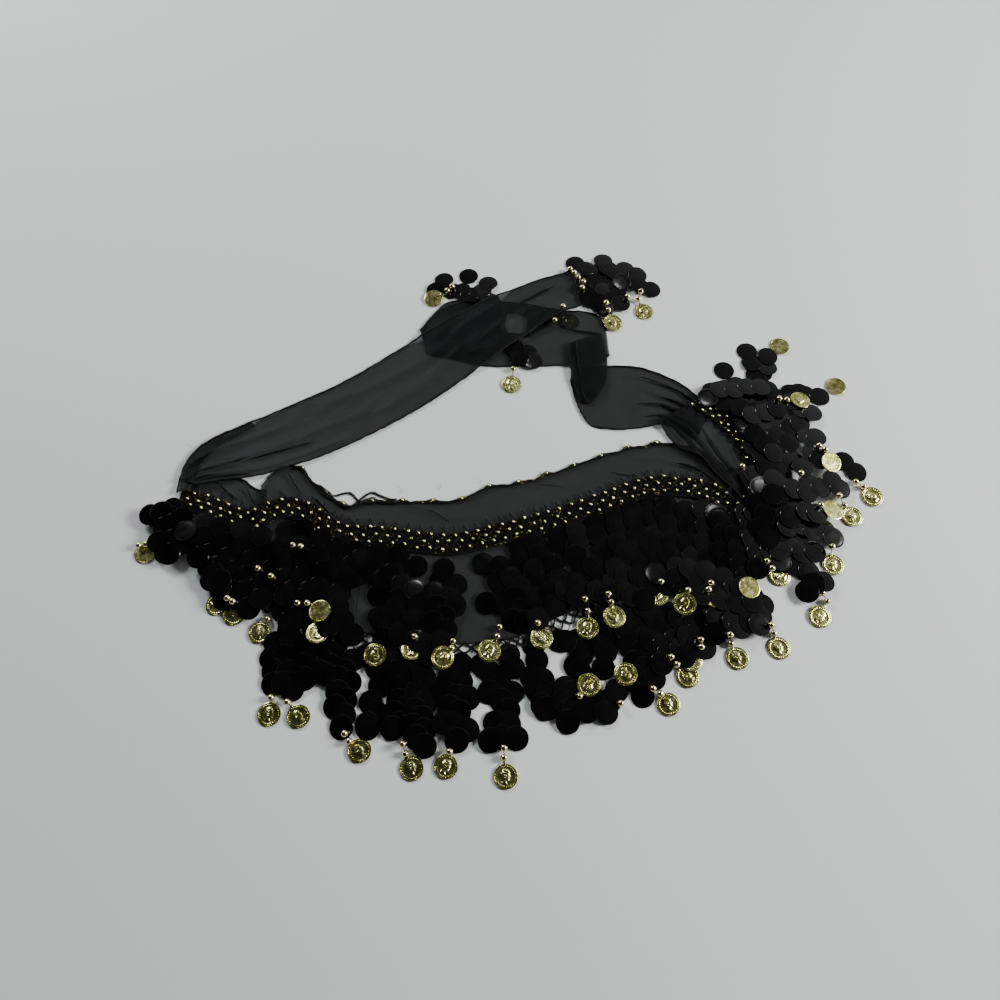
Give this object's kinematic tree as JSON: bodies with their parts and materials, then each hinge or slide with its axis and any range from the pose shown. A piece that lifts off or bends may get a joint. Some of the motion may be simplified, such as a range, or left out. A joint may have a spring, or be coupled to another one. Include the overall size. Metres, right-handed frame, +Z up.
{
  "type": "belly dance hip scarf",
  "caption": "Long hip scarf of thin black chiffon with a beaded crochet band and two tiers of paillette and coin fringe, lying loosely folded on a surface.",
  "frame": {"origin": "middle of the footprint of the scarf as it lies, on the surface it lies on", "axes": "+X along the panel towards its turned-back end, +Y away from the lower fringe towards the ties, +Z up from the surface"},
  "size_m": [0.6798, 0.5268, 0.0073],
  "materials": {
    "chiffon": "sheer matt chiffon",
    "crochet": "black crochet with a gold thread",
    "fringe": "glossy black",
    "bead": "polished gold colour",
    "coin": "stamped pale gold colour",
    "thread": "black sewing thread"
  },
  "bodies": {
    "root": {"band_left": "crochet", "band_main": "crochet", "band_right": "crochet", "cord_top": "crochet", "fringe_left_01": "fringe", "fringe_left_02": "fringe", "fringe_left_03": "fringe", "fringe_left_04": "fringe", "fringe_left_05": "fringe", "fringe_left_06": "fringe", "fringe_lower_01": "fringe", "fringe_lower_02": "fringe", "fringe_lower_03": "fringe", "fringe_lower_04": "fringe", "fringe_lower_05": "fringe", "fringe_lower_06": "fringe", "fringe_lower_07": "fringe", "fringe_lower_08": "fringe", "fringe_lower_09": "fringe", "fringe_lower_10": "fringe", "fringe_lower_11": "fringe", "fringe_lower_12": "fringe", "fringe_lower_13": "fringe", "fringe_lower_14": "fringe", "fringe_lower_15": "fringe", "fringe_right_01": "fringe", "fringe_right_02": "fringe", "fringe_right_03": "fringe", "fringe_right_04": "fringe", "fringe_right_05": "fringe", "fringe_right_06": "fringe", "fringe_right_07": "fringe", "fringe_right_08": "fringe", "fringe_right_09": "fringe", "fringe_right_10": "fringe", "fringe_upper_1": "fringe", "fringe_upper_2": "fringe", "fringe_upper_3": "fringe", "fringe_upper_4": "fringe", "fringe_upper_5": "fringe", "fringe_upper_left": "fringe", "net_low": "crochet", "panel_left": "chiffon", "panel_main": "chiffon", "panel_right": "chiffon", "panel_turn": "chiffon", "tassel_left_1": "fringe", "tassel_left_2": "fringe", "tassel_right_1": "fringe", "tassel_right_2": "fringe", "tie_left": "chiffon", "tie_left_end": "chiffon", "tie_right_root": "chiffon", "tie_right_run": "chiffon", "tie_right_tip": "chiffon", "tie_right_twist": "chiffon"}
  },
  "joints": []
}
